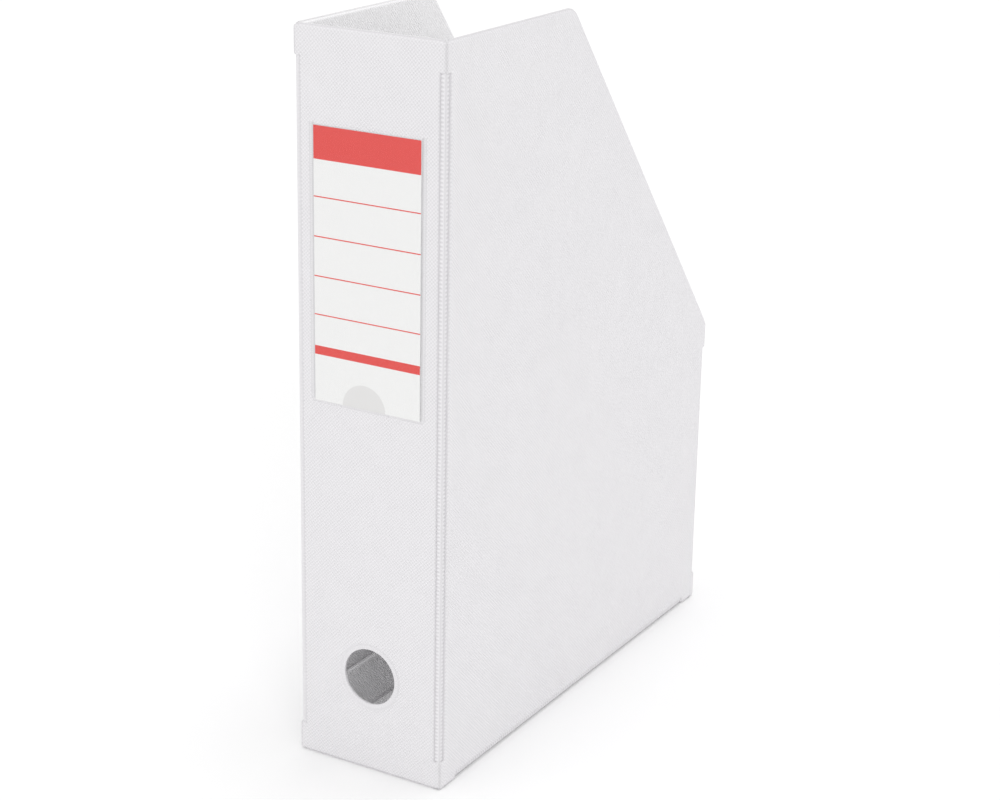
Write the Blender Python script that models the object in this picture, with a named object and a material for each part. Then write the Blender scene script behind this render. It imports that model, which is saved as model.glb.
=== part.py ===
"""Folding magazine file: six foil-covered board panels joined by welded foil hinges.

Frame: metres, +Z up, origin on the ground under the middle of the file.
The spine with the label faces -Y and the base hinges on the right side, at +X.
Each panel is modelled flat in its own axes: X and Y lie in the panel, and Z is the depth
from its outer face towards the inside of the file.
"""
import math

import bmesh
import bpy
from mathutils import Matrix, Vector

MM = 0.001

# Outer size of the standing file
WIDTH = 72 * MM
DEPTH = 242 * MM
HEIGHT = 318 * MM
REAR_HEIGHT = 146 * MM
TOP_LENGTH = 100 * MM
CROWN_RADIUS = 12 * MM

# Panel make-up, from the outer face inwards
PANEL = 2.2 * MM
FOIL = 0.3 * MM
BOARD_GAP = 0.1 * MM
WELD_LOW = 0.85 * MM
WELD_HIGH = 1.35 * MM

# Welded rim along free edges and welded groove along hinged edges
RIM = 0.6 * MM
GROOVE = 3.3 * MM
BRIDGE = 13 * MM
LIP = 0.35 * MM
SKIRT = 0.3 * MM
SHOULDER = 0.2 * MM
BOARD_INSET = 0.4 * MM
WEB_CLEARANCE = 0.1 * MM
RIM_WALL = 0.2 * MM
SLOT_WALL_LOW = 0.05 * MM
SLOT_WALL_HIGH = 0.5 * MM

# Hinged edges are drawn past the fold and then cut back to the mitre; each ring of a foil
# reaches a little less far than the one outside it, so that no two rings cross
REACH = 1.0 * MM
REACH_TAPER = 0.1

# Folds: panels are mitred, and each fold turns on its outer or its inner corner line
MITRE_GAP = 0.22 * MM
INNER_PIVOT = PANEL + 0.15 * MM

# Base and tuck flap
BASE_END_GAP = 1.7 * MM
FLAP_GAP = 0.4 * MM
FLAP_HEIGHT = 26 * MM
FLAP_TAPER = 27 * MM

# Finger hole in the spine
HOLE_HEIGHT = 43.4 * MM
HOLE_RADIUS = 12.5 * MM
HOLE_WELD = 2.0 * MM
HOLE_SEGMENTS = 64
BOARD_HOLE_GAP = 0.9 * MM
SKIRT_GAP = 0.15 * MM
SKIRT_SLOPE = 0.15 * MM
SKIRT_WALL = 0.3 * MM
FOIL_HOLE_GAP = 0.35 * MM

# Label card and its film pocket on the spine; offsets are from the spine's middle
CARD_WIDTH = 51 * MM
CARD_BOTTOM = 163.3 * MM
CARD_HEIGHT = 115 * MM
CARD_THICKNESS = 0.3 * MM
CARD_CORNER = 0.8 * MM
LABEL_SHIFT = 0.5 * MM
POCKET_SEAM = 2.0 * MM
POCKET_FOOT = 0.8 * MM
POCKET_WALL = 0.45 * MM
POCKET_SIDE_GAP = 0.35 * MM
POCKET_TOP_GAP = 1.0 * MM
POCKET_LIFT = 0.1 * MM
CARD_LIFT = 0.15 * MM
FILM = 0.2 * MM
NOTCH_RADIUS = 10.5 * MM
NOTCH_SHIFT = 1.5 * MM
FILM_OVERLAP = 0.05 * MM
CARD_FLOAT = 0.05 * MM

# How far a cutter runs past the piece that it cuts
CUT_PAST = 5 * MM

# Tolerances for clean meshes
MERGE = 1e-6
ON_PLANE = 1e-7
FLAT_ANGLE = math.radians(0.5)
SHARP_ANGLE = math.radians(35)

POCKET_PROUD = POCKET_LIFT + CARD_LIFT + CARD_THICKNESS + FILM
FRONT = POCKET_PROUD / 2 - DEPTH / 2
REAR = FRONT + DEPTH
RIGHT = WIDTH / 2
LEFT = -WIDTH / 2
BASE_LENGTH = WIDTH - PANEL - FLAP_GAP
BASE_REAR = PANEL + BASE_END_GAP
BASE_FRONT = DEPTH - PANEL - BASE_END_GAP
LABEL_X = WIDTH / 2 + LABEL_SHIFT
HOLE = (WIDTH / 2, HOLE_HEIGHT)

FREE = "free"
HINGED = "hinged"


def make_collection(name):
    collection = bpy.data.collections.new(name)
    bpy.context.scene.collection.children.link(collection)
    return collection


def make_material(name, colour, roughness, alpha=1.0):
    material = bpy.data.materials.new(name)
    material.use_nodes = True
    shader = material.node_tree.nodes["Principled BSDF"]
    shader.inputs["Base Color"].default_value = (*colour, 1.0)
    shader.inputs["Roughness"].default_value = roughness
    shader.inputs["Metallic"].default_value = 0.0
    shader.inputs["Alpha"].default_value = alpha
    return material


for old in list(bpy.data.objects):
    bpy.data.objects.remove(old, do_unlink=True)

PARTS = make_collection("magazine_file")
CUTTERS = make_collection("cutters")

FOIL_WHITE = make_material("foil_white", (0.80, 0.80, 0.81), 0.45)
BOARD_GREY = make_material("board_grey", (0.38, 0.36, 0.33), 0.9)
FILM_CLEAR = make_material("film_clear", (0.92, 0.92, 0.92), 0.12, alpha=0.3)
CARD_WHITE = make_material("card_white", (0.85, 0.85, 0.84), 0.6)


# Outlines -------------------------------------------------------------------------------

def corner_between(point_a, way_a, point_b, way_b):
    """Where two lines in the plane cross, each given by a point and a direction."""
    cross = way_a.x * way_b.y - way_a.y * way_b.x
    gap = point_b - point_a
    along = (gap.x * way_b.y - gap.y * way_b.x) / cross
    return point_a + way_a * along


def rounded_corner(before, corner, after, radius, segments=8):
    """Points of the arc that rounds one corner of an outline."""
    way_in = (before - corner).normalized()
    way_out = (after - corner).normalized()
    half_angle = way_in.angle(way_out) / 2
    centre = corner + (way_in + way_out).normalized() * (radius / math.sin(half_angle))
    start = corner + way_in * (radius / math.tan(half_angle)) - centre
    end = corner + way_out * (radius / math.tan(half_angle)) - centre
    turn = start.angle_signed(end)
    points = []
    for step in range(segments + 1):
        points.append(centre + Matrix.Rotation(-turn * step / segments, 2) @ start)
    return points


def outline(panel, free_inset, slot_depth, reach):
    """Outline of one layer of a panel.

    Free edges move in by free_inset. Hinged edges run past the fold by reach, and are cut
    back to slot_depth between their two bridges.
    """
    corners = [Vector(point) for point in panel["corners"]]
    count = len(corners)
    ways = [(corners[(i + 1) % count] - corners[i]).normalized() for i in range(count)]
    shifts = [free_inset if kind == FREE else -reach for kind in panel["edges"]]
    normals = [Vector((-way.y, way.x)) for way in ways]
    starts = [corners[i] + normals[i] * shifts[i] for i in range(count)]
    moved = [corner_between(starts[i - 1], ways[i - 1], starts[i], ways[i]) for i in range(count)]
    points = []
    for i in range(count):
        radius = panel["radii"].get(i, 0.0) - free_inset
        if i in panel["radii"]:
            points += rounded_corner(moved[i - 1], moved[i], moved[(i + 1) % count], radius)
        else:
            points.append(moved[i])
        if panel["edges"][i] == HINGED:
            low, high = panel["slots"][i]
            grow = slot_depth - GROOVE
            for along, depth in ((low - grow, -reach), (low - grow, slot_depth),
                                 (high + grow, slot_depth), (high + grow, -reach)):
                points.append(corners[i] + ways[i] * along + normals[i] * depth)
    return points


# Solids ---------------------------------------------------------------------------------

def add_object(name, mesh, collection, material=None):
    piece = bpy.data.objects.new(name, mesh)
    collection.objects.link(piece)
    if material is not None:
        mesh.materials.append(material)
    if collection is CUTTERS:
        piece.hide_render = True
        piece.display_type = "WIRE"
    return piece


def circle_points(centre, radius):
    """Points round a circle in the plane of a panel."""
    steps = [2 * math.pi * i / HOLE_SEGMENTS for i in range(HOLE_SEGMENTS)]
    return [Vector((centre[0] + radius * math.cos(a), centre[1] + radius * math.sin(a))) for a in steps]


def slab(name, points, low, high, material=None, collection=PARTS, hole=None):
    """Flat sheet of the given outline between two depths, with an optional hole outline."""
    curve = bpy.data.curves.new(name + "_outline", "CURVE")
    curve.dimensions = "2D"
    curve.fill_mode = "BOTH"
    curve.extrude = (high - low) / 2
    for loop in (points, hole) if hole else (points,):
        spline = curve.splines.new("POLY")
        spline.points.add(len(loop) - 1)
        for spot, point in zip(spline.points, loop):
            spot.co = (point[0], point[1], 0.0, 1.0)
        spline.use_cyclic_u = True
    guide = bpy.data.objects.new(name + "_outline", curve)
    bpy.context.scene.collection.objects.link(guide)
    guide.location.z = (high + low) / 2
    graph = bpy.context.evaluated_depsgraph_get()
    mesh = bpy.data.meshes.new_from_object(guide.evaluated_get(graph))
    mesh.name = name
    shape = bmesh.new()
    shape.from_mesh(mesh)
    bmesh.ops.remove_doubles(shape, verts=shape.verts, dist=MERGE)
    bmesh.ops.dissolve_limit(shape, angle_limit=FLAT_ANGLE, verts=shape.verts, edges=shape.edges)
    bmesh.ops.translate(shape, verts=shape.verts, vec=(0, 0, (high + low) / 2))
    bmesh.ops.recalc_face_normals(shape, faces=shape.faces)
    shape.to_mesh(mesh)
    shape.free()
    bpy.data.objects.remove(guide)
    bpy.data.curves.remove(curve)
    return add_object(name, mesh, collection, material)


def rod(name, centre, radius, low, high, collection=CUTTERS):
    """Round bar along the panel's depth."""
    shape = bmesh.new()
    bmesh.ops.create_cone(
        shape, cap_ends=True, segments=HOLE_SEGMENTS, radius1=radius, radius2=radius, depth=high - low)
    bmesh.ops.translate(shape, verts=shape.verts, vec=(centre[0], centre[1], (low + high) / 2))
    mesh = bpy.data.meshes.new(name)
    shape.to_mesh(mesh)
    shape.free()
    return add_object(name, mesh, collection)


def turned_ring(name, centre, profile, material=None, collection=PARTS):
    """Ring turned about the panel's depth from a closed profile of (radius, depth) points."""
    shape = bmesh.new()
    corners = [shape.verts.new((radius, 0.0, depth)) for radius, depth in profile]
    edges = [shape.edges.new((corners[i - 1], corners[i])) for i in range(len(corners))]
    bmesh.ops.spin(
        shape, geom=corners + edges, cent=(0, 0, 0), axis=(0, 0, 1), angle=2 * math.pi,
        steps=HOLE_SEGMENTS, use_merge=True)
    bmesh.ops.remove_doubles(shape, verts=shape.verts, dist=MERGE)
    bmesh.ops.recalc_face_normals(shape, faces=shape.faces)
    bmesh.ops.translate(shape, verts=shape.verts, vec=(centre[0], centre[1], 0.0))
    mesh = bpy.data.meshes.new(name)
    shape.to_mesh(mesh)
    shape.free()
    mesh.shade_smooth()
    mesh.set_sharp_from_angle(angle=SHARP_ANGLE)
    return add_object(name, mesh, collection, material)


def pressed_foil(name, panel, levels):
    """Foil pressed over the board: rings of the panel's outline, each at its own depth."""
    shape = bmesh.new()
    rings = []
    for free_inset, slot_depth, depth in levels:
        points = outline(panel, free_inset, slot_depth, REACH - free_inset * REACH_TAPER)
        rings.append([shape.verts.new((point.x, point.y, depth)) for point in points])
    count = len(rings[0])
    for ring, following in zip(rings, rings[1:]):
        for i in range(count):
            shape.faces.new((ring[i - 1], ring[i], following[i], following[i - 1]))
    shape.faces.new(rings[0])
    shape.faces.new(list(reversed(rings[-1])))
    bmesh.ops.recalc_face_normals(shape, faces=shape.faces)
    mesh = bpy.data.meshes.new(name)
    shape.to_mesh(mesh)
    shape.free()
    return add_object(name, mesh, PARTS, FOIL_WHITE)


def boolean(piece, cutter, operation="DIFFERENCE"):
    modifier = piece.modifiers.new(cutter.name, "BOOLEAN")
    modifier.operation = operation
    modifier.object = cutter


def edge_frame(panel, edge):
    """Start of one edge of a panel, the way along it and the way into the panel."""
    corners = [Vector(point) for point in panel["corners"]]
    start = corners[edge]
    way = (corners[(edge + 1) % len(corners)] - start).normalized()
    return start, way, Vector((-way.y, way.x))


def mitre(piece, panel, edges):
    """Cut a piece back to the mitre planes of the given hinged edges."""
    shape = bmesh.new()
    shape.from_mesh(piece.data)
    for edge in edges:
        start, way, normal = edge_frame(panel, edge)
        foot = start + normal * MITRE_GAP
        cut = bmesh.ops.bisect_plane(
            shape, geom=shape.verts[:] + shape.edges[:] + shape.faces[:], dist=ON_PLANE,
            plane_co=(foot.x, foot.y, 0), plane_no=(normal.x, normal.y, -1), clear_inner=True)
        rim = [part for part in cut["geom_cut"] if isinstance(part, bmesh.types.BMEdge)]
        bmesh.ops.holes_fill(shape, edges=rim, sides=0)
    bmesh.ops.recalc_face_normals(shape, faces=shape.faces)
    shape.to_mesh(piece.data)
    shape.free()


# Panels ---------------------------------------------------------------------------------

OUTER_LEVELS = (
    (RIM + SKIRT + RIM_WALL, GROOVE + SLOT_WALL_HIGH, FOIL),
    (RIM, GROOVE + SLOT_WALL_LOW, WELD_LOW + SHOULDER),
    (0.0, GROOVE - LIP, WELD_LOW + SHOULDER),
    (0.0, GROOVE - LIP, WELD_LOW),
    (RIM - SKIRT, GROOVE - LIP + WEB_CLEARANCE, WELD_LOW),
    (RIM, GROOVE, SHOULDER),
    (RIM + SKIRT, GROOVE + SKIRT, 0.0),
)
INNER_LEVELS = tuple((free, slot, PANEL - depth) for free, slot, depth in OUTER_LEVELS)

SPINE = {
    "corners": ((0, 0), (WIDTH, 0), (WIDTH, HEIGHT), (0, HEIGHT)),
    "edges": (FREE, HINGED, FREE, HINGED),
    "slots": {1: (BRIDGE, HEIGHT - BRIDGE), 3: (BRIDGE, HEIGHT - BRIDGE)},
    "radii": {},
}
LEFT_SIDE = {
    "corners": ((0, 0), (DEPTH, 0), (DEPTH, REAR_HEIGHT), (TOP_LENGTH, HEIGHT), (0, HEIGHT)),
    "edges": (FREE, HINGED, FREE, FREE, HINGED),
    "slots": {1: (BRIDGE, REAR_HEIGHT - BRIDGE), 4: (BRIDGE, HEIGHT - BRIDGE)},
    "radii": {3: CROWN_RADIUS},
}
RIGHT_SIDE = {
    "corners": ((0, 0), (DEPTH, 0), (DEPTH, HEIGHT), (DEPTH - TOP_LENGTH, HEIGHT), (0, REAR_HEIGHT)),
    "edges": (HINGED, HINGED, FREE, FREE, HINGED),
    "slots": {
        0: (BRIDGE, DEPTH - BRIDGE),
        1: (BRIDGE, HEIGHT - BRIDGE),
        4: (BRIDGE, REAR_HEIGHT - BRIDGE),
    },
    "radii": {3: CROWN_RADIUS},
}
REAR_WALL = {
    "corners": ((0, 0), (WIDTH, 0), (WIDTH, REAR_HEIGHT), (0, REAR_HEIGHT)),
    "edges": (FREE, HINGED, FREE, HINGED),
    "slots": {1: (BRIDGE, REAR_HEIGHT - BRIDGE), 3: (BRIDGE, REAR_HEIGHT - BRIDGE)},
    "radii": {},
}
BASE_SLOT = (BRIDGE - BASE_REAR, DEPTH - BRIDGE - BASE_REAR)
BASE_SLOT_BACK = (BASE_FRONT - DEPTH + BRIDGE, BASE_FRONT - BRIDGE)
BASE = {
    "corners": ((0, BASE_REAR), (BASE_LENGTH, BASE_REAR), (BASE_LENGTH, BASE_FRONT), (0, BASE_FRONT)),
    "edges": (FREE, HINGED, FREE, HINGED),
    "slots": {1: BASE_SLOT, 3: BASE_SLOT_BACK},
    "radii": {},
}
TUCK_FLAP = {
    "corners": (
        (0, BASE_REAR),
        (FLAP_HEIGHT, BASE_REAR + FLAP_TAPER),
        (FLAP_HEIGHT, BASE_FRONT - FLAP_TAPER),
        (0, BASE_FRONT),
    ),
    "edges": (FREE, FREE, FREE, HINGED),
    "slots": {3: BASE_SLOT_BACK},
    "radii": {},
}


def body_empty(name, place, axis_x, axis_y):
    """Empty on a body's joint axis, turned to the panel's own axes."""
    empty = bpy.data.objects.new(name, None)
    PARTS.objects.link(empty)
    x = Vector(axis_x)
    y = Vector(axis_y)
    turn = Matrix((x, y, x.cross(y))).transposed()
    empty.matrix_world = Matrix.Translation(place) @ turn.to_4x4()
    return empty


def place_on(empty, pivot, pieces):
    """Hang pieces, modelled in panel axes, on the empty that stands at the pivot."""
    for piece in pieces:
        own = piece.matrix_local.copy()
        piece.parent = empty
        piece.matrix_local = Matrix.Translation(-Vector(pivot)) @ own


def hinge_weld(name, panel, edge):
    """Half of a welded hinge: the strip from the panel's groove to the fold."""
    start, way, normal = edge_frame(panel, edge)
    low, high = panel["slots"][edge]
    inset = LIP + WEB_CLEARANCE
    near_ends = (start + way * (low + inset), start + way * (high - inset))
    far = normal * (GROOVE - inset)
    points = [near_ends[0], near_ends[1], near_ends[1] + far, near_ends[0] + far]
    weld = slab(name, points, WELD_LOW, WELD_HIGH, FOIL_WHITE)
    mitre(weld, panel, (edge,))
    return weld


def make_panel(name, panel, welds, board_hole=None):
    """Board, two foils and the hinge welds of one panel; welds maps an edge to a name."""
    board = slab(
        name + "_board",
        outline(panel, RIM + SKIRT + BOARD_INSET, GROOVE + SKIRT + BOARD_INSET, REACH),
        FOIL + BOARD_GAP, PANEL - FOIL - BOARD_GAP, BOARD_GREY, hole=board_hole)
    layers = [
        board,
        pressed_foil(name + "_outer_foil", panel, OUTER_LEVELS),
        pressed_foil(name + "_inner_foil", panel, INNER_LEVELS),
    ]
    for layer in layers:
        mitre(layer, panel, panel["slots"])
    for edge, neighbour in welds.items():
        layers.append(hinge_weld(name + "_" + neighbour + "_weld", panel, edge))
    return layers


base_parts = make_panel("base", BASE, {1: "flap", 3: "side"})
right_parts = make_panel("right_side", RIGHT_SIDE, {0: "base", 1: "spine", 4: "rear"})
spine_parts = make_panel(
    "spine", SPINE, {1: "left", 3: "right"}, circle_points(HOLE, HOLE_RADIUS + HOLE_WELD + BOARD_HOLE_GAP))
left_parts = make_panel("left_side", LEFT_SIDE, {1: "rear", 4: "spine"})
rear_parts = make_panel("rear_wall", REAR_WALL, {1: "right", 3: "left"})
flap_parts = make_panel("tuck_flap", TUCK_FLAP, {3: "base"})


# Finger hole: the foils are welded together in a ring inside a larger hole in the board ----

weld_radius = HOLE_RADIUS + HOLE_WELD
skirt_foot = weld_radius + SKIRT_GAP
skirt_top = skirt_foot + SKIRT_SLOPE
outer_profile = (
    (skirt_foot, WELD_LOW + SHOULDER), (skirt_foot, WELD_LOW),
    (skirt_top, 0.0), (skirt_top + SKIRT_WALL, 0.0), (skirt_top + SKIRT_WALL, FOIL),
    (skirt_foot + SKIRT_WALL, WELD_LOW + SHOULDER),
)
inner_profile = tuple((radius, PANEL - depth) for radius, depth in outer_profile)
foil_hole = rod("foil_hole", HOLE, weld_radius + FOIL_HOLE_GAP, -CUT_PAST, CUT_PAST)
outer_skirt = turned_ring("outer_skirt", HOLE, outer_profile, collection=CUTTERS)
inner_skirt = turned_ring("inner_skirt", HOLE, inner_profile, collection=CUTTERS)
hole_weld = turned_ring(
    "finger_hole_weld", HOLE,
    ((HOLE_RADIUS, WELD_LOW), (weld_radius, WELD_LOW), (weld_radius, WELD_HIGH), (HOLE_RADIUS, WELD_HIGH)),
    FOIL_WHITE)
for foil, skirt in ((spine_parts[1], outer_skirt), (spine_parts[2], inner_skirt)):
    boolean(foil, foil_hole)
    boolean(foil, skirt, "UNION")
spine_parts.append(hole_weld)
spine_cutters = [foil_hole, outer_skirt, inner_skirt]


# Label pocket and card -------------------------------------------------------------------

def rectangle(left, bottom, right, top):
    return [Vector((left, bottom)), Vector((right, bottom)), Vector((right, top)), Vector((left, top))]


card_left = LABEL_X - CARD_WIDTH / 2
card_right = LABEL_X + CARD_WIDTH / 2
card_top = CARD_BOTTOM + CARD_HEIGHT
pocket_top = card_top + POCKET_TOP_GAP
cavity_left = card_left - POCKET_SIDE_GAP
cavity_right = card_right + POCKET_SIDE_GAP
cavity_bottom = CARD_BOTTOM - POCKET_SIDE_GAP
seam = rectangle(
    cavity_left - POCKET_SEAM, cavity_bottom - POCKET_FOOT, cavity_right + POCKET_SEAM, pocket_top)
raised = rectangle(
    cavity_left - POCKET_WALL, cavity_bottom - POCKET_WALL, cavity_right + POCKET_WALL, pocket_top)
cavity = rectangle(cavity_left, cavity_bottom, cavity_right, pocket_top + CUT_PAST)

pocket = slab("label_pocket", seam, -POCKET_LIFT - FILM, -POCKET_LIFT, FILM_CLEAR)
film_inner = FILM - POCKET_PROUD
pocket_raised = slab(
    "pocket_raised", raised, -POCKET_PROUD, -POCKET_LIFT - FILM_OVERLAP, collection=CUTTERS)
pocket_cavity = slab("pocket_cavity", cavity, film_inner, CUT_PAST, collection=CUTTERS)
notch = rod(
    "thumb_notch", (LABEL_X + NOTCH_SHIFT, cavity_bottom), NOTCH_RADIUS, -CUT_PAST,
    film_inner + FILM_OVERLAP)
boolean(pocket, pocket_raised, "UNION")
boolean(pocket, pocket_cavity)
boolean(pocket, notch)
spine_parts.append(pocket)
spine_cutters += [pocket_raised, pocket_cavity, notch]

card_corners = rectangle(card_left, CARD_BOTTOM, card_right, card_top)
card_points = []
for index, corner in enumerate(card_corners):
    card_points += rounded_corner(
        card_corners[index - 1], corner, card_corners[(index + 1) % 4], CARD_CORNER, segments=4)
card_outer = -POCKET_LIFT - CARD_THICKNESS - CARD_FLOAT
card = slab("label_card", card_points, card_outer, card_outer + CARD_THICKNESS, CARD_WHITE)


# Bodies: each empty stands on its joint axis ---------------------------------------------

ALONG_X = (1, 0, 0)
AGAINST_X = (-1, 0, 0)
ALONG_Y = (0, 1, 0)
AGAINST_Y = (0, -1, 0)
UP = (0, 0, 1)

base_body = body_empty("base", (RIGHT, REAR, 0), AGAINST_X, AGAINST_Y)
right_body = body_empty("right_side", (RIGHT, REAR, 0), AGAINST_Y, UP)
spine_body = body_empty("spine", (RIGHT - INNER_PIVOT, FRONT + INNER_PIVOT, 0), AGAINST_X, UP)
left_body = body_empty("left_side", (LEFT, FRONT, 0), ALONG_Y, UP)
rear_body = body_empty("rear_wall", (RIGHT, REAR, 0), ALONG_X, UP)
flap_edge = RIGHT - BASE_LENGTH
flap_body = body_empty("tuck_flap", (flap_edge + INNER_PIVOT, REAR, INNER_PIVOT), UP, AGAINST_Y)
card_body = body_empty("label_card_slide", (RIGHT - LABEL_X, FRONT, CARD_BOTTOM), AGAINST_X, UP)

place_on(base_body, (0, 0, 0), base_parts)
place_on(right_body, (0, 0, 0), right_parts)
place_on(spine_body, (INNER_PIVOT, 0, INNER_PIVOT), spine_parts + spine_cutters)
place_on(left_body, (0, 0, 0), left_parts)
place_on(rear_body, (WIDTH, 0, 0), rear_parts)
place_on(flap_body, (INNER_PIVOT, 0, INNER_PIVOT), flap_parts)
place_on(card_body, (LABEL_X, CARD_BOTTOM, 0), [card])
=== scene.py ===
"""Looks of the folding magazine file.

Each panel of the CAD model gets an outer and an inner skin of embossed foil, and each fold a
welded hinge with pressed ribs. All lengths are in metres.
"""
import math

import bmesh
import bpy
from mathutils import Matrix, Vector


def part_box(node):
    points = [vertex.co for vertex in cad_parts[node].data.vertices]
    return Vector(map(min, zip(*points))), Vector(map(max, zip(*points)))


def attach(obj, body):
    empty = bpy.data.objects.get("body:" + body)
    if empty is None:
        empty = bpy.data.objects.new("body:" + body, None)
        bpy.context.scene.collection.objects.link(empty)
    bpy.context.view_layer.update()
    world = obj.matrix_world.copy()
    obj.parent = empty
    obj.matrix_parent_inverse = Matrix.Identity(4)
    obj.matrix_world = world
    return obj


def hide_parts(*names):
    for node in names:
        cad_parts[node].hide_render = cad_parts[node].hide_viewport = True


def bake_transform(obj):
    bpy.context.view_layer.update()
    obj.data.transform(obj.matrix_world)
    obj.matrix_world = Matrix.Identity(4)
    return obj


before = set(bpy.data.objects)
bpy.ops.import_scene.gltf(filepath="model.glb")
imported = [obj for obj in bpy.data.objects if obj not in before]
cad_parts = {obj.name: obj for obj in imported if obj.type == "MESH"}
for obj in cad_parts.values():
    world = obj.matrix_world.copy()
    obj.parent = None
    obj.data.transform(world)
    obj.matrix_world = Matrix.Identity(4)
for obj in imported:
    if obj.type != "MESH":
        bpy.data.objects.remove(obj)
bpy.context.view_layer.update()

MM = 0.001

# Outer size of the standing file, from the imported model
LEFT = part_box("left_side_outer_foil")[0][0]
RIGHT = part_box("right_side_outer_foil")[1][0]
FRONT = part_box("spine_outer_foil")[0][1]
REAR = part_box("rear_wall_outer_foil")[1][1]
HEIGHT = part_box("right_side_outer_foil")[1][2]
REAR_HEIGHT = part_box("rear_wall_outer_foil")[1][2]
BASE_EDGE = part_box("tuck_flap_outer_foil")[0][0]
FLAP_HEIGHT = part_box("tuck_flap_outer_foil")[1][2]
BASE_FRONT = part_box("base_outer_foil")[0][1]
BASE_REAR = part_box("base_outer_foil")[1][1]
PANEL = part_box("spine_inner_foil")[1][1] - FRONT
WIDTH = RIGHT - LEFT
DEPTH = REAR - FRONT
BASE_SPAN = BASE_REAR - BASE_FRONT
TOP_LENGTH = 100 * MM
CROWN_RADIUS = 12 * MM
FLAP_TAPER = 27 * MM
FLAP_CORNER = 3 * MM

# Welded grooves and the proud bridges at their ends. SEAM and GROOVE are distances from a fold
SEAM = 3.9 * MM
SEAM_STEP = 0.08 * MM
GROOVE = 3.3 * MM
WALL = 0.42 * MM
WALL_SHARES = (1.0, 0.71, 0.48, 0.24, 0.07, 0.0)
BRIDGE = 13 * MM
BRIDGE_ROWS = 3
SLOT_END = 1.1 * MM
SLOT_ROWS = 5
PRESSED = 0.85 * MM
INNER_PRESS = 0.4
FOIL = 0.3 * MM

# Corner of a fold, and how far from it the hinge bends
OUTER_CORNER = 1.4 * MM
INNER_CORNER = 2.0 * MM
CORNER_ANGLES = tuple(math.radians(angle) for angle in (10, 20, 30, 38, 45, 52, 60, 70, 80))
MIDDLE = math.pi / 4
SMALL_ANGLE = 0.001
CREASE = 0.12 * MM
CREASE_ANGLE = math.radians(12)

# Ribs pressed into the grooves
RIB_PITCH = 1.7 * MM
RIB_HEIGHT = 0.16 * MM
RIB_ZONE = (1.55 * MM, 3.15 * MM)
RIB_SIDE = 0.2 * MM
RIB_ROWS = 4

# Free ends of the hinges
TRIM = 0.5 * MM
TRIM_FROM = 1.9 * MM
TRIM_TO = 3.1 * MM
CURL_ROW = 0.4 * MM

# Shade painted into the foil's colour: on pressed rims, in the groove on one panel, along the groove's
# edge and at the fold's corner; painted shade and highlight on the ribs
RIM_PAINTED_SHADE = 0.35
GROOVE_PAINTED_SHADE = 0.45
EDGE_PAINTED_SHADE = 0.7
EDGE_SPREAD = 0.4 * MM
CREASE_SPREAD = 0.95 * MM
RIB_SHADE = 1.5
FAINT_RIB_SHADE = 0.3
DEEPEST_PAINTED_SHADE = 0.16

# Fine embossing of the foil
EMBOSS_PITCH = 1.63 * MM
EMBOSS_DEPTH = 0.11 * MM
EMBOSS_PAINTED_SHADING = 0.1
PATCH_SCALE = 90.0
PATCH_RANGE = (0.45, 1.15)
WAVE_SCALE = 22.0
WAVE_DEPTH = 0.35 * MM
GRAIN_SCALE = 2600.0
GRAIN_DEPTH = 0.012 * MM

# Textures of the board, the film and the paper
FIBRE_SCALE = 900.0
FIBRE_DEPTH = 0.1 * MM
HAZE_SCALE = 45.0
HAZE_DEPTH = 0.25 * MM
TOOTH_SCALE = 1800.0
TOOTH_DEPTH = 0.003 * MM

# Finger hole. The lip is (distance from the hole, extra depth), both in millimetres
HOLE_SEGMENTS = 96
HOLE_WELD = 2.0 * MM
HOLE_SHOULDER = 1.2 * MM
HOLE_WALL = 1.1 * MM
HOLE_WALL_ROWS = 5
HOLE_PRESSED = 0.45 * MM
HOLE_LIP = ((0.0, 0.25), (0.07, 0.08), (0.2, 0.0), (0.35, 0.0))
HOLE_EDGE_ROWS = (0.3 * MM, 0.1 * MM)
HOLE_KNURLS = 77
HOLE_RIB = 0.1 * MM
HOLE_RIB_START = 0.3 * MM
HOLE_RIB_STOP = 0.2 * MM

# Label pocket and the thumb notch in its foot
POCKET_CORNER = 2.2 * MM
LEAST_CORNER = 0.3 * MM
POCKET_ARC_STEPS = 8
POCKET_FILM = 0.2 * MM
NOTCH_X = -2.0 * MM
NOTCH_RADIUS = 10.5 * MM
NOTCH_DROP = 0.35 * MM
NOTCH_STEPS = 24
NOTCH_SEGMENTS = 64
NOTCH_CUT = 6 * MM
WELD_PITCH = 0.9 * MM
WELD_RIB = 0.07 * MM
WELD_RIB_PAINTED_SHADE = 0.5

# Sections across the pocket's edge, from outside in: the film as (inset in millimetres, share
# of the way from foot to top), the weld as (inset in millimetres, share of its height, painted shade)
FILM_SECTION = (
    (0.0, 0.0), (0.15, 0.0), (1.25, 0.0), (1.5, 0.1),
    (1.75, 0.45), (1.95, 0.85), (2.15, 1.0), (2.6, 1.0))
WELD_SECTION = (
    (0.0, 0.1, 0.6), (0.2, 0.5, 0.8), (0.5, 1.0, 0.1), (1.1, 1.0, 0.1),
    (1.3, 0.5, 0.6), (1.6, 0.3, 1.2), (2.1, 0.3, 1.4), (2.3, 0.1, 1.2))

# Printed bands of the card, as (bottom, top) above its lower edge
CARD_BANDS = tuple((low * MM, high * MM) for low, high in (
    (19.75, 23.5), (36.55, 37.05), (52.75, 53.25), (69.25, 69.75), (85.75, 86.25), (101.3, 115.0)))

# Floor and camera
FLOOR_REACH = 20.0
FLOOR_DROP = -0.05 * MM
FLOOR_COLOUR = (0.97, 0.97, 0.97)
LENS = 80.2
LENS_SHIFT = -0.03
SENSOR_WIDTH = 36.0
CAMERA_PLACE = (0.4799, -0.8300, 0.4638)
CAMERA_YAW = math.radians(-30.52)
CAMERA_PITCH = math.radians(18.27)
CAMERA_ROLL = math.radians(1.06)

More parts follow.
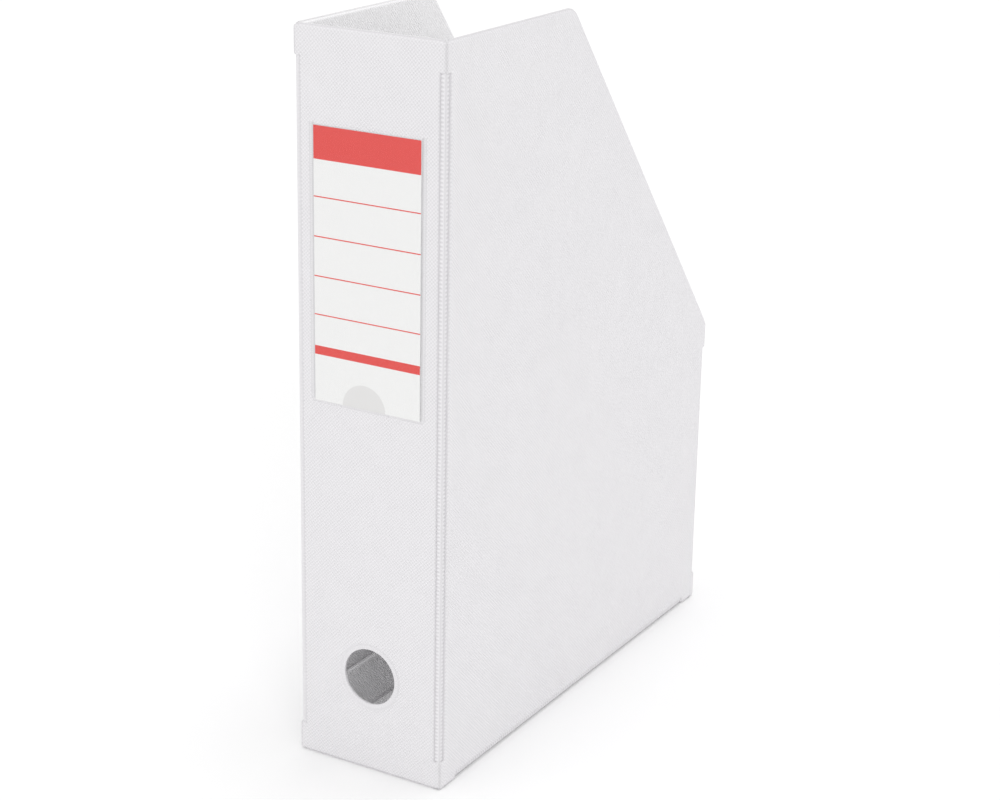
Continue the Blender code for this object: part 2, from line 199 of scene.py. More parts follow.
# Soft lights as (name, direction they come from, strength, angle in degrees), and the sky
STUDIO_LIGHTS = (
    ("key", (-0.60, -0.50, 0.62), 0.12, 60),
    ("front", (0.62, -0.66, 0.42), 0.48, 25),
    ("top", (0.05, 0.1, 1.0), 0.52, 25),
)
SKY_STRENGTH = 0.83

# Cross-section of a free edge: (inset, depth) of the foil's outer face and of its back
RIM_SECTION = (
    (2.40, 0.00, 2.40, 0.30),
    (1.70, 0.00, 1.70, 0.30),
    (1.34, 0.03, 1.44, 0.32),
    (1.04, 0.12, 1.24, 0.40),
    (0.84, 0.28, 1.08, 0.52),
    (0.73, 0.50, 0.99, 0.75),
    (0.66, 0.74, 0.90, 1.02),
    (0.52, 0.85, 0.70, 1.08),
    (0.08, 0.85, 0.08, 1.08),
    (0.00, 0.91, 0.00, 1.05),
)
RIM_SECTION = tuple(tuple(value * MM for value in row) for row in RIM_SECTION)
RIM_WIDTH = RIM_SECTION[0][0]

# Kinds of panel edge, and kinds of hinge end
FREE, HINGED = "free", "hinged"
RIM, CURL, PLAIN = "rim", "curl", "plain"

SHARP_ANGLE = math.radians(35)
ARC_STEPS = 12


# Meshes -----------------------------------------------------------------------------------

def make_piece(name, corners, faces, flat, pressed, shaded, materials):
    """Closed mesh with a map of its flat coordinates, how pressed each point is, and the shade painted
    on it.
    """
    mesh = bpy.data.meshes.new(name)
    mesh.from_pydata([tuple(corner) for corner in corners], [], faces)
    shape = bmesh.new()
    shape.from_mesh(mesh)
    bmesh.ops.recalc_face_normals(shape, faces=shape.faces)
    shape.to_mesh(mesh)
    shape.free()
    layer = mesh.uv_layers.new(name="flat")
    for loop in mesh.loops:
        layer.data[loop.index].uv = flat[loop.vertex_index]
    for label, values in (("pressed", pressed), ("shaded", shaded)):
        mesh.attributes.new(label, "FLOAT", "POINT").data.foreach_set("value", values)
    mesh.shade_smooth()
    mesh.set_sharp_from_angle(angle=SHARP_ANGLE)
    for material in materials:
        mesh.materials.append(material)
    piece = bpy.data.objects.new(name, mesh)
    bpy.context.scene.collection.objects.link(piece)
    return piece


def corner_between(point_a, way_a, point_b, way_b):
    """Where two lines in the plane cross, each given by a point and a direction."""
    cross = way_a.x * way_b.y - way_a.y * way_b.x
    gap = point_b - point_a
    return point_a + way_a * ((gap.x * way_b.y - gap.y * way_b.x) / cross)


def rounded_corner(before, corner, after, radius, steps=ARC_STEPS):
    """Points of the arc that rounds one corner of an outline."""
    way_in = (before - corner).normalized()
    way_out = (after - corner).normalized()
    half_angle = way_in.angle(way_out) / 2
    centre = corner + (way_in + way_out).normalized() * (radius / math.sin(half_angle))
    start = corner + way_in * (radius / math.tan(half_angle)) - centre
    end = corner + way_out * (radius / math.tan(half_angle)) - centre
    turn = start.angle_signed(end)
    return [centre + Matrix.Rotation(-turn * i / steps, 2) @ start for i in range(steps + 1)]


def hole_edge(centre, radius):
    """Points round the edge of the hole in a foil."""
    angles = [2 * math.pi * i / HOLE_SEGMENTS for i in range(HOLE_SEGMENTS)]
    return [centre + Vector((math.cos(angle), math.sin(angle))) * radius for angle in angles]


def band(near, far, closed=True):
    """Faces between two rings of point numbers, or between two open rows of them."""
    count = len(near)
    steps = count if closed else count - 1
    return [(near[i], near[(i + 1) % count], far[(i + 1) % count], far[i]) for i in range(steps)]


def swell(row):
    """Height of a rib at one of its rows of points, from 0 to 1."""
    return 0.5 - 0.5 * math.cos(2 * math.pi * row / RIB_ROWS)


# Panels -----------------------------------------------------------------------------------

class Panel:
    """A flat panel: its place, its own axes and its outline."""

    def __init__(self, name, origin, axis_x, axis_y, corners, edges, radii=None):
        self.name = name
        self.origin = Vector(origin)
        self.axis_x = Vector(axis_x)
        self.axis_y = Vector(axis_y)
        self.inward = self.axis_x.cross(self.axis_y)
        self.corners = [Vector(corner) for corner in corners]
        self.edges = edges
        self.radii = radii or {}

    def place(self, point, depth):
        return self.origin + self.axis_x * point.x + self.axis_y * point.y + self.inward * depth

    def outline(self, inset):
        """Points round the panel, each with whether a free edge leads on from it.

        Free edges move in by the inset, and hinged ones to the seam with the hinge.
        """
        count = len(self.corners)
        ways = [(self.corners[(i + 1) % count] - self.corners[i]).normalized() for i in range(count)]
        shifts = [inset if kind == FREE else SEAM for kind in self.edges]
        starts = [self.corners[i] + Vector((-ways[i].y, ways[i].x)) * shifts[i] for i in range(count)]
        moved = [corner_between(starts[i - 1], ways[i - 1], starts[i], ways[i]) for i in range(count)]
        points = []
        for i in range(count):
            if i in self.radii:
                arc = rounded_corner(
                    moved[i - 1], moved[i], moved[(i + 1) % count], self.radii[i] - inset)
                points += [(point, True) for point in arc]
            else:
                points.append((moved[i], self.edges[i] == FREE))
        return points


def rim_faces(upper, lower, leads):
    """Faces along a panel's edges; leads says for each point whether a free edge starts there."""
    faces = []
    for i, free in enumerate(leads):
        following = (i + 1) % len(leads)
        if free:
            for rings in (upper, lower):
                for near, far in zip(rings, rings[1:]):
                    faces.append((near[i], near[following], far[following], far[i]))
        end = -1 if free else 0
        faces.append((upper[end][i], upper[end][following], lower[end][following], lower[end][i]))
        if free != leads[i - 1]:
            for k in range(len(upper) - 1):
                faces.append((upper[k][i], upper[k + 1][i], lower[k + 1][i], lower[k][i]))
    return faces


def panel_skin(panel, side, material, hole=None):
    """One foil of a panel, with its welded rim along the free edges painted in shade where pressed;
    hole is a centre and a radius.
    """
    corners, flat, pressed = [], [], []

    def add_ring(points, depth, press):
        first = len(corners)
        real_depth = depth if side == "outer" else PANEL - depth
        corners.extend(panel.place(point, real_depth) for point in points)
        flat.extend((point.x, point.y) for point in points)
        pressed.extend([press] * len(points))
        return list(range(first, len(corners)))

    upper, lower = [], []
    for inset, depth, inset_low, depth_low in RIM_SECTION:
        press = min(1.0, depth / PRESSED)
        upper.append(add_ring([point for point, free in panel.outline(inset)], depth, press))
        lower.append(add_ring([point for point, free in panel.outline(inset_low)], depth_low, press))
    faces = rim_faces(upper, lower, [free for point, free in panel.outline(0.0)])
    if hole is None:
        faces += [tuple(upper[0]), tuple(lower[0])]
    else:
        top, bottom = (add_ring(hole_edge(*hole), level, 0.0) for level in (0.0, FOIL))
        faces += band(top, bottom)
        faces += plate_with_hole(corners, upper[0], top)
        faces += plate_with_hole(corners, lower[0], bottom)

    # The rows of the rim aren't used along the hinged edges
    used = sorted({index for face in faces for index in face})
    renumber = {old: new for new, old in enumerate(used)}
    faces = [tuple(renumber[index] for index in face) for face in faces]
    # The pressed rim gets painted shade, in step with how deep it is pressed
    piece = make_piece(
        panel.name + "_" + side + "_skin", [corners[i] for i in used], faces,
        [flat[i] for i in used], [pressed[i] for i in used], [RIM_PAINTED_SHADE * pressed[i] for i in used],
        [material])
    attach(piece, panel.name)
    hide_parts(panel.name + "_" + side + "_foil")


def plate_with_hole(corners, border, hole):
    """Triangles between a border and a hole, both given as rings of point numbers."""
    shape = bmesh.new()
    numbers = {}
    rings = []
    for ring in (border, hole):
        verts = [shape.verts.new(corners[index]) for index in ring]
        numbers.update(zip(verts, ring))
        rings.append(verts)
    for ring in rings:
        for i in range(len(ring)):
            shape.edges.new((ring[i - 1], ring[i]))
    bmesh.ops.triangle_fill(shape, edges=shape.edges[:], use_beauty=True)
    faces = [tuple(numbers[vert] for vert in face.verts) for face in shape.faces]
    shape.free()
    return faces


# Hinges -----------------------------------------------------------------------------------

def ease(value):
    """Quarter circle from 0 to 1."""
    value = min(1.0, max(0.0, value))
    return math.sqrt(1 - (1 - value) ** 2)


def rim_depth(inset):
    """Depth of the outer face at a distance from a free edge."""
    for far, near in zip(RIM_SECTION, RIM_SECTION[1:]):
        if near[0] <= inset <= far[0]:
            share = (inset - near[0]) / (far[0] - near[0])
            return near[1] + (far[1] - near[1]) * share
    return 0.0


class Fold:
    """The corner between panels a and b: an origin, a length, and the ways along it and them.

    Each end has a kind and a slope on a and on b. One panel, a or b, has painted shade on its groove.
    """

    def __init__(self, origin, along, length, way_a, way_b, ends_low, ends_high,
                 darker, slopes_low=(0, 0), slopes_high=(0, 0), bridge=BRIDGE, rib_shade=RIB_SHADE):
        self.origin = Vector(origin)
        self.along = Vector(along)
        self.length = length
        self.way_a = Vector(way_a)
        self.way_b = Vector(way_b)
        self.ends = (ends_low, ends_high)
        self.darker = darker
        self.slopes = (slopes_low, slopes_high)
        self.bridge = bridge
        self.rib_shade = rib_shade

    def rows(self, ribbed):
        """Rows along the fold as (distance from an end, which end, height of a rib).

        A whole number of ribs fits between the two bridges.
        """
        near = sorted([row[0] for row in RIM_SECTION] + [CURL_ROW])
        plain = self.bridge - SLOT_END - RIM_WIDTH
        near += [RIM_WIDTH + plain * i / BRIDGE_ROWS for i in range(1, BRIDGE_ROWS)]
        near += [self.bridge - SLOT_END * (1 - i / SLOT_ROWS) for i in range(SLOT_ROWS)]
        span = self.length - 2 * self.bridge
        count = RIB_ROWS * round(span / RIB_PITCH) if ribbed else 1
        middle = []
        for i in range(count + 1):
            height = RIB_HEIGHT * swell(i) if ribbed else 0.0
            middle.append((self.bridge + span * i / count, 0, height))
        low, high = ([(value, end, 0.0) for value in near] for end in (0, 1))
        return low + middle + high[::-1]

    def columns(self, corner):
        """Columns across the fold as (distance on a, angle round the corner, distance on b)."""
        walls = [SEAM, SEAM - SEAM_STEP]
        walls += [GROOVE + WALL * share for share in WALL_SHARES]
        if corner < RIB_ZONE[0]:
            low, high = RIB_ZONE
            walls += [high, high - RIB_SIDE, low + RIB_SIDE, low]
        walls += [corner]
        on_a = [(value, 0.0, 0.0) for value in walls]
        arc = [(corner - corner * math.sin(angle), angle, corner - corner * math.cos(angle))
               for angle in CORNER_ANGLES]
        on_b = [(0.0, math.pi / 2, value) for value in reversed(walls)]
        return on_a + arc + on_b

    def point(self, column, row, corner, inner):
        """Place of one grid point, its flat coordinates, how far it is pressed and the shade painted on
        it.
        """
        on_a, angle, on_b = column
        inset, end, rib = row
        share_b = math.sin(angle) ** 2
        share_a = 1 - share_b
        round_corner = 0.0 < angle < math.pi / 2
        farthest = max(on_a, on_b)

        # How deep the foil is pressed here: by the groove, the free edge or the curled edge.
        # The inner foil is also pressed a little at the bridges, to keep clear when the fold opens.
        slot = 1 - ease((self.bridge - inset) / SLOT_END)
        groove = max(slot, INNER_PRESS) if inner else slot
        if not round_corner:
            groove *= 1 - ease((farthest - GROOVE) / WALL)
        end_a, end_b = self.ends[end]
        rim = share_a * (end_a == RIM) + share_b * (end_b == RIM)
        curl = share_a * (end_a == CURL) + share_b * (end_b == CURL)
        fall = max(0.0, OUTER_CORNER - inset)
        curled = curl * (OUTER_CORNER - math.sqrt(OUTER_CORNER ** 2 - fall ** 2))
        depth = max(PRESSED * groove, rim_depth(inset) * rim, curled)
        pressed = min(1.0, depth / PRESSED)
        ribbed = RIB_ZONE[0] < farthest < RIB_ZONE[1] and not round_corner
        if ribbed:
            depth -= rib
        if round_corner and not inner:
            off = (angle - MIDDLE) / CREASE_ANGLE
            depth += CREASE * math.exp(-off * off) * (1 - pressed)
        if inner:
            depth = PANEL - depth

        # How far along the fold: a sloping end moves the rows near it, and a rim is trimmed back.
        slope_a, slope_b = self.slopes[end]
        stretch_a = (math.hypot(1, slope_a) - 1) * min(1.0, on_a / corner)
        stretch_b = (math.hypot(1, slope_b) - 1) * min(1.0, on_b / corner)
        fade = min(1.0, max(0.0, (self.bridge - inset) / (self.bridge - RIM_WIDTH)))
        shift = slope_a * on_a + slope_b * on_b + (stretch_a + stretch_b) * inset
        near_corner = 1 - min(1.0, max(0.0, (farthest - TRIM_FROM) / (TRIM_TO - TRIM_FROM)))
        trimmed = TRIM * near_corner * rim * max(0.0, 1 - inset / RIM_WIDTH)
        along = inset + fade * shift + trimmed
        if end:
            along = self.length - along

        # Where the point is, and how far across the fold
        base = self.origin + self.along * along
        if angle == 0.0:
            place = base + self.way_a * on_a + self.way_b * depth
            across = -on_a
        elif angle == math.pi / 2:
            place = base + self.way_b * on_b + self.way_a * depth
            across = on_b
        else:
            turned = self.way_b * math.cos(angle) + self.way_a * math.sin(angle)
            place = base + (self.way_a + self.way_b) * corner - turned * (corner - depth)
            across = corner * (angle / MIDDLE - 1)

        # Shade painted on the point: on the rim, and outside in the groove on one panel, at its edge
        # and at the corner's crease
        tone = RIM_PAINTED_SHADE * min(1.0, rim_depth(inset) * rim / PRESSED)
        if not inner:
            on_darker_panel = across < 0 if self.darker == "a" else across > 0
            groove_shade = GROOVE_PAINTED_SHADE * groove * on_darker_panel
            edge_shade = EDGE_PAINTED_SHADE * slot * math.exp(-((farthest - GROOVE) / EDGE_SPREAD) ** 2)
            crease_shade = math.exp(-(across / CREASE_SPREAD) ** 2)
            tone = max(tone, groove_shade, edge_shade, crease_shade)
            # Painted shade between the ribs and painted highlight on their crests
            tone += self.rib_shade * groove * (0.5 - rib / RIB_HEIGHT) * ribbed
        return place, (across, along), pressed, tone


def hinge_piece(name, fold, material, part=None):
    """Welded hinge of a fold, or the half of it that lies on panel a or b."""
    corners, faces, flat, pressed, shaded, grids = [], [], [], [], [], []
    for corner, inner in ((OUTER_CORNER, False), (INNER_CORNER, True)):
        columns = fold.columns(corner)
        if part == "a":
            columns = [column for column in columns if column[1] < MIDDLE + SMALL_ANGLE]
        if part == "b":
            columns = [column for column in columns if column[1] > MIDDLE - SMALL_ANGLE]
        grid = []
        for row in fold.rows(not inner):
            line = []
            for column in columns:
                place, spot, press, tone = fold.point(column, row, corner, inner)
                line.append(len(corners))
                corners.append(place)
                flat.append(spot)
                pressed.append(press)
                shaded.append(tone)
            grid.append(line)
        for line, following in zip(grid, grid[1:]):
            faces += band(line, following, closed=False)
        grids.append(grid)

    # Close the sides and the ends. The inner grid crosses the groove in one step, its middle one,
    # and the outer grid has extra rows there for its ribs.
    outer, inner = grids
    extra = len(outer) - len(inner)
    middle = len(inner) // 2 - 1
    for side in (0, -1):
        for k in range(len(inner) - 1):
            start = k + extra * (k > middle)
            stop = k + 1 + extra * (k >= middle)
            wall = [outer[i][side] for i in range(start, stop + 1)]
            faces.append(tuple(wall) + (inner[k + 1][side], inner[k][side]))
    for end in (0, -1):
        faces.append(tuple(outer[end]) + tuple(reversed(inner[end])))
    piece = make_piece(name, corners, faces, flat, pressed, shaded, [material, LIGHTENED_LINING])
    lining = {index for line in inner for index in line}
    for face in piece.data.polygons:
        face.material_index = int(all(index in lining for index in face.vertices))
    return piece


# Materials --------------------------------------------------------------------------------

class Nodes:
    """Short calls for the nodes of one material."""

    def __init__(self, name):
        self.material = bpy.data.materials.new(name)
        self.material.use_nodes = True
        self.tree = self.material.node_tree
        self.shader = self.tree.nodes["Principled BSDF"]

    def add(self, kind, **settings):
        node = self.tree.nodes.new(kind)
        for key, value in settings.items():
            setattr(node, key, value)
        return node

    def link(self, source, target):
        self.tree.links.new(source, target)

    def fill(self, socket, value):
        if isinstance(value, bpy.types.NodeSocket):
            self.link(value, socket)
        else:
            socket.default_value = value

    def math(self, operation, first, second=None, third=None):
        node = self.add("ShaderNodeMath", operation=operation)
        for socket, value in zip(node.inputs, (first, second, third)):
            if value is not None:
                self.fill(socket, value)
        return node.outputs[0]

    def noise(self, vector, scale, detail=2.0, roughness=0.5):
        node = self.add("ShaderNodeTexNoise")
        self.fill(node.inputs["Vector"], vector)
        node.inputs["Scale"].default_value = scale
        node.inputs["Detail"].default_value = detail
        node.inputs["Roughness"].default_value = roughness
        return node.outputs["Fac"]

    def spread(self, value, low, high):
        """Map 0..1 to low..high."""
        node = self.add("ShaderNodeMapRange")
        self.fill(node.inputs["Value"], value)
        node.inputs["To Min"].default_value = low
        node.inputs["To Max"].default_value = high
        return node.outputs["Result"]

    def mix(self, share, first, second):
        node = self.add("ShaderNodeMix", data_type="RGBA")
        self.fill(node.inputs["Factor"], share)
        colours = [socket for socket in node.inputs if socket.type == "RGBA"]
        colours[0].default_value = (*first, 1.0)
        colours[1].default_value = (*second, 1.0)
        return [socket for socket in node.outputs if socket.type == "RGBA"][0]

    def bump(self, height, distance, strength=1.0, below=None):
        node = self.add("ShaderNodeBump")
        self.fill(node.inputs["Height"], height)
        node.inputs["Distance"].default_value = distance
        node.inputs["Strength"].default_value = strength
        if below is not None:
            self.link(below, node.inputs["Normal"])
        return node.outputs["Normal"]


def foil_material(name, light, shade):
    """White foil embossed with fine crossed ridges, with painted shade in their hollows and painted
    highlight on their crests; a weld has pressed them smooth, and the shaded attribute adds painted
    shade, and painted highlight on ribs.
    """
    nodes = Nodes(name)
    flat = nodes.add("ShaderNodeUVMap", uv_map="flat").outputs["UV"]
    split = nodes.add("ShaderNodeSeparateXYZ")
    nodes.link(flat, split.inputs[0])
    ridge = 2 * math.pi / EMBOSS_PITCH
    total = nodes.math("ADD", split.outputs["X"], split.outputs["Y"])
    gap = nodes.math("SUBTRACT", split.outputs["X"], split.outputs["Y"])
    waves = [nodes.math("SINE", nodes.math("MULTIPLY", way, ridge)) for way in (total, gap)]
    weave = nodes.math("MULTIPLY", nodes.math("ADD", waves[0], waves[1]), 0.5)
    press = nodes.add("ShaderNodeAttribute", attribute_name="pressed").outputs["Fac"]
    shaded = nodes.add("ShaderNodeAttribute", attribute_name="shaded").outputs["Fac"]
    proud = nodes.math("SUBTRACT", 1.0, press)
    patches = nodes.spread(nodes.noise(flat, PATCH_SCALE), *PATCH_RANGE)
    height = nodes.math("MULTIPLY", nodes.math("MULTIPLY", weave, proud), patches)
    grain = nodes.noise(flat, GRAIN_SCALE, detail=3.0)
    slow = nodes.noise(flat, WAVE_SCALE)
    waviness = nodes.bump(slow, WAVE_DEPTH, 0.5)
    fine = nodes.bump(grain, GRAIN_DEPTH, 0.6, waviness)
    nodes.link(nodes.bump(height, EMBOSS_DEPTH, 1.0, fine), nodes.shader.inputs["Normal"])
    # Painted shade in the hollows of the emboss and painted highlight on its crests, times the painted
    # shade of the shaded attribute
    painted_relief = nodes.math("MULTIPLY_ADD", height, EMBOSS_PAINTED_SHADING, 1.0)
    darker = nodes.math("MULTIPLY_ADD", shaded, -DEEPEST_PAINTED_SHADE, 1.0)
    tone = nodes.math("MULTIPLY", painted_relief, darker)
    scale = nodes.add("ShaderNodeVectorMath", operation="SCALE")
    nodes.link(nodes.mix(nodes.spread(slow, 0.2, 0.8), light, shade), scale.inputs[0])
    nodes.link(tone, scale.inputs["Scale"])
    nodes.link(scale.outputs[0], nodes.shader.inputs["Base Color"])
    rough = nodes.math("ADD", nodes.spread(grain, 0.34, 0.46), nodes.math("MULTIPLY", press, -0.08))
    nodes.link(rough, nodes.shader.inputs["Roughness"])
    nodes.shader.inputs["IOR"].default_value = 1.5
    nodes.shader.inputs["Specular IOR Level"].default_value = 0.4
    return nodes.material


def board_material(dark, light):
    """Grey board with short paper fibres."""
    nodes = Nodes("grey_board")
    place = nodes.add("ShaderNodeTexCoord").outputs["Object"]
    fibres = nodes.noise(place, FIBRE_SCALE, detail=6.0, roughness=0.7)
    nodes.link(nodes.mix(fibres, dark, light), nodes.shader.inputs["Base Color"])
    nodes.link(nodes.bump(fibres, FIBRE_DEPTH, 0.6), nodes.shader.inputs["Normal"])
    nodes.shader.inputs["Roughness"].default_value = 0.9
    return nodes.material


def film_material(dark, light):
    """Clear glossy film with a faint haze."""
    nodes = Nodes("clear_film")
    place = nodes.add("ShaderNodeTexCoord").outputs["Object"]
    haze = nodes.noise(place, HAZE_SCALE, detail=3.0)
    nodes.link(nodes.mix(haze, dark, light), nodes.shader.inputs["Base Color"])
    nodes.link(nodes.bump(haze, HAZE_DEPTH, 0.4), nodes.shader.inputs["Normal"])
    nodes.link(nodes.spread(haze, 0.06, 0.14), nodes.shader.inputs["Roughness"])
    nodes.shader.inputs["Alpha"].default_value = 0.02
    nodes.shader.inputs["Specular IOR Level"].default_value = 0.6
    return nodes.material


def paper_material(name, light, shade):
    """Printed or plain card with a fine tooth."""
    nodes = Nodes(name)
    place = nodes.add("ShaderNodeTexCoord").outputs["Object"]
    tooth = nodes.noise(place, TOOTH_SCALE, detail=4.0)
    nodes.link(nodes.mix(tooth, light, shade), nodes.shader.inputs["Base Color"])
    nodes.link(nodes.bump(tooth, TOOTH_DEPTH, 0.4), nodes.shader.inputs["Normal"])
    nodes.link(nodes.spread(tooth, 0.5, 0.62), nodes.shader.inputs["Roughness"])
    nodes.shader.inputs["Specular IOR Level"].default_value = 0.25
    return nodes.material


FOIL_WHITE = foil_material("white_foil", (0.805, 0.793, 0.81), (0.77, 0.758, 0.78))
# The lining is the same white foil, painted lighter to make up for the shade inside the file
LIGHTENED_LINING = foil_material("lightened_lining", (0.962, 0.955, 0.965), (0.947, 0.94, 0.951))
BOARD_GREY = board_material((0.20, 0.19, 0.175), (0.34, 0.325, 0.30))
FILM_CLEAR = film_material((0.86, 0.87, 0.87), (0.93, 0.94, 0.94))
CARD_WHITE = paper_material("card_white", (0.845, 0.845, 0.84), (0.83, 0.83, 0.825))
CARD_RED = paper_material("card_red", (0.735, 0.066, 0.058), (0.72, 0.062, 0.055))
CARD_SHADE = paper_material("card_shade", (0.735, 0.73, 0.725), (0.72, 0.715, 0.71))


# Skins ------------------------------------------------------------------------------------

hole_low, hole_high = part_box("finger_hole_weld")
HOLE_CENTRE = Vector((RIGHT - (hole_low[0] + hole_high[0]) / 2, (hole_low[2] + hole_high[2]) / 2))
WELD_RADIUS = (hole_high[0] - hole_low[0]) / 2
HOLE_RADIUS = WELD_RADIUS - HOLE_WELD
HOLE_RIM = WELD_RADIUS + HOLE_SHOULDER

# The base, from the right side's fold and from the rear
base_length = RIGHT - BASE_EDGE
base_start = REAR - BASE_REAR
base_end = REAR - BASE_FRONT

ACROSS, BACK, UP = (1, 0, 0), (0, 1, 0), (0, 0, 1)
REVERSED, FORWARD = (-1, 0, 0), (0, -1, 0)

PANELS = {
    "spine": Panel(
        "spine", (RIGHT, FRONT, 0), REVERSED, UP,
        ((0, 0), (WIDTH, 0), (WIDTH, HEIGHT), (0, HEIGHT)), (FREE, HINGED, FREE, HINGED)),
    "left_side": Panel(
        "left_side", (LEFT, FRONT, 0), BACK, UP,
        ((0, 0), (DEPTH, 0), (DEPTH, REAR_HEIGHT), (TOP_LENGTH, HEIGHT), (0, HEIGHT)),
        (FREE, HINGED, FREE, FREE, HINGED), {3: CROWN_RADIUS}),
    "right_side": Panel(
        "right_side", (RIGHT, REAR, 0), FORWARD, UP,
        ((0, 0), (DEPTH, 0), (DEPTH, HEIGHT), (DEPTH - TOP_LENGTH, HEIGHT), (0, REAR_HEIGHT)),
        (HINGED, HINGED, FREE, FREE, HINGED), {3: CROWN_RADIUS}),
    "rear_wall": Panel(
        "rear_wall", (LEFT, REAR, 0), ACROSS, UP,
        ((0, 0), (WIDTH, 0), (WIDTH, REAR_HEIGHT), (0, REAR_HEIGHT)), (FREE, HINGED, FREE, HINGED)),
    "base": Panel(
        "base", (RIGHT, REAR, 0), REVERSED, FORWARD,
        ((0, base_start), (base_length, base_start), (base_length, base_end), (0, base_end)),
        (FREE, HINGED, FREE, HINGED)),
    "tuck_flap": Panel(
        "tuck_flap", (BASE_EDGE, REAR, 0), UP, FORWARD,
        ((0, base_start), (FLAP_HEIGHT, base_start + FLAP_TAPER),
         (FLAP_HEIGHT, base_end - FLAP_TAPER), (0, base_end)),
        (FREE, FREE, FREE, HINGED), {1: FLAP_CORNER, 2: FLAP_CORNER}),
}

for panel in PANELS.values():
    hole = (HOLE_CENTRE, HOLE_RIM) if panel.name == "spine" else None
    panel_skin(panel, "outer", FOIL_WHITE, hole)
    panel_skin(panel, "inner", LIGHTENED_LINING, hole)
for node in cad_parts:
    if node.endswith("_board"):
        board = bpy.data.objects[node].data
        board.materials.clear()
        board.materials.append(BOARD_GREY)


# Hinges between the panels ----------------------------------------------------------------

rise = (HEIGHT - REAR_HEIGHT) / (DEPTH - TOP_LENGTH)
taper = FLAP_TAPER / FLAP_HEIGHT
base_bridge = BRIDGE - base_start
FOLDS = {
    "spine_fold": (
        Fold((RIGHT, FRONT, 0), UP, HEIGHT, BACK, REVERSED, (CURL, RIM), (RIM, RIM), "a"),
        "right_side", "spine", ("right_side_spine_weld", "spine_right_weld")),
    "left_fold": (
        Fold((LEFT, FRONT, 0), UP, HEIGHT, ACROSS, BACK, (RIM, RIM), (RIM, RIM), "b",
             rib_shade=FAINT_RIB_SHADE),
        "spine", "left_side", ("spine_left_weld", "left_side_spine_weld")),
    "rear_fold": (
        Fold((RIGHT, REAR, 0), UP, REAR_HEIGHT, FORWARD, REVERSED, (CURL, RIM), (RIM, RIM), "a",
             slopes_high=(-rise, 0)),
        "right_side", "rear_wall", ("right_side_rear_weld", "rear_wall_right_weld")),
    "side_fold": (
        Fold((RIGHT, BASE_REAR, 0), FORWARD, BASE_SPAN, REVERSED, UP, (RIM, PLAIN), (RIM, PLAIN), "b",
             bridge=base_bridge),
        "base", "right_side", ("base_side_weld", "right_side_base_weld")),
    "flap_fold": (
        Fold((BASE_EDGE, BASE_REAR, 0), FORWARD, BASE_SPAN, ACROSS, UP, (RIM, RIM), (RIM, RIM), "a",
             (0, taper), (0, taper), bridge=base_bridge),
        "base", "tuck_flap", ("base_flap_weld", "tuck_flap_base_weld")),
}
for name, (fold, body_a, body_b, welds) in FOLDS.items():
    hinge = hinge_piece(name + "_hinge", fold, FOIL_WHITE)
    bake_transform(hinge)
    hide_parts(*welds)

# The linkage is opened at the rear left fold, so each half of its hinge rides on its own panel
rear_left = Fold(
    (LEFT, REAR, 0), UP, REAR_HEIGHT, FORWARD, ACROSS, (RIM, RIM), (RIM, RIM), "a",
    slopes_high=(-rise, 0))
rear_left_halves = (
    ("a", "left_side", "left_side_rear_weld"),
    ("b", "rear_wall", "rear_wall_left_weld"),
)
for part, body, weld in rear_left_halves:
    half = hinge_piece(body + "_rear_left_hinge", rear_left, FOIL_WHITE, part)
    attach(half, body)
    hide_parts(weld)


# Finger hole ------------------------------------------------------------------------------

def finger_ring():
    """Ring in which both foils are welded together round the hole, with fine radial ribs."""
    upper = [(HOLE_RADIUS + way_in * MM, HOLE_PRESSED + extra * MM) for way_in, extra in HOLE_LIP]
    upper += [(WELD_RADIUS - back, HOLE_PRESSED) for back in HOLE_EDGE_ROWS]
    for i in range(HOLE_WALL_ROWS + 1):
        share = i / HOLE_WALL_ROWS
        level = 0.5 + 0.5 * math.cos(math.pi * share)
        upper.append((WELD_RADIUS + HOLE_WALL * share, HOLE_PRESSED * level))
    upper.append((HOLE_RIM, 0.0))
    profile = upper + [(radius, PANEL - depth) for radius, depth in reversed(upper)]

    steps = HOLE_KNURLS * RIB_ROWS
    corners, flat, pressed, shaded, rings = [], [], [], [], []
    for step in range(steps):
        angle = 2 * math.pi * step / steps
        way = Vector((math.cos(angle), math.sin(angle)))
        rings.append(range(len(corners), len(corners) + len(profile)))
        for radius, depth in profile:
            ribbed = HOLE_RADIUS + HOLE_RIB_START < radius < WELD_RADIUS - HOLE_RIB_STOP
            lift = HOLE_RIB * swell(step) if ribbed else 0.0
            real_depth = depth - lift if depth < PANEL / 2 else depth + lift
            point = HOLE_CENTRE + way * radius
            corners.append(PANELS["spine"].place(point, real_depth))
            flat.append((point.x, point.y))
            deep = min(1.0, min(depth, PANEL - depth) / HOLE_PRESSED)
            pressed.append(deep)
            # Painted shade on the pressed ring, less of it on the crests of the ribs
            shaded.append(RIM_PAINTED_SHADE * deep * (1 - lift / HOLE_RIB))
    faces = []
    for near, far in zip(rings, rings[1:] + rings[:1]):
        faces += band(near, far)
    ring = make_piece("finger_hole_ring", corners, faces, flat, pressed, shaded, [FOIL_WHITE])
    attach(ring, "spine")
    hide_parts("finger_hole_weld")


finger_ring()


# Label card and pocket --------------------------------------------------------------------

def notch_arc(bottom):
    """Points of the thumb notch from left to right, above a level."""
    start = math.asin((bottom - NOTCH_LEVEL) / NOTCH_RADIUS)
    points = []
    for i in range(NOTCH_STEPS + 1):
        angle = math.pi - start - (math.pi - 2 * start) * i / NOTCH_STEPS
        x = NOTCH_X + NOTCH_RADIUS * math.cos(angle)
        points.append((x, NOTCH_LEVEL + NOTCH_RADIUS * math.sin(angle)))
    return points


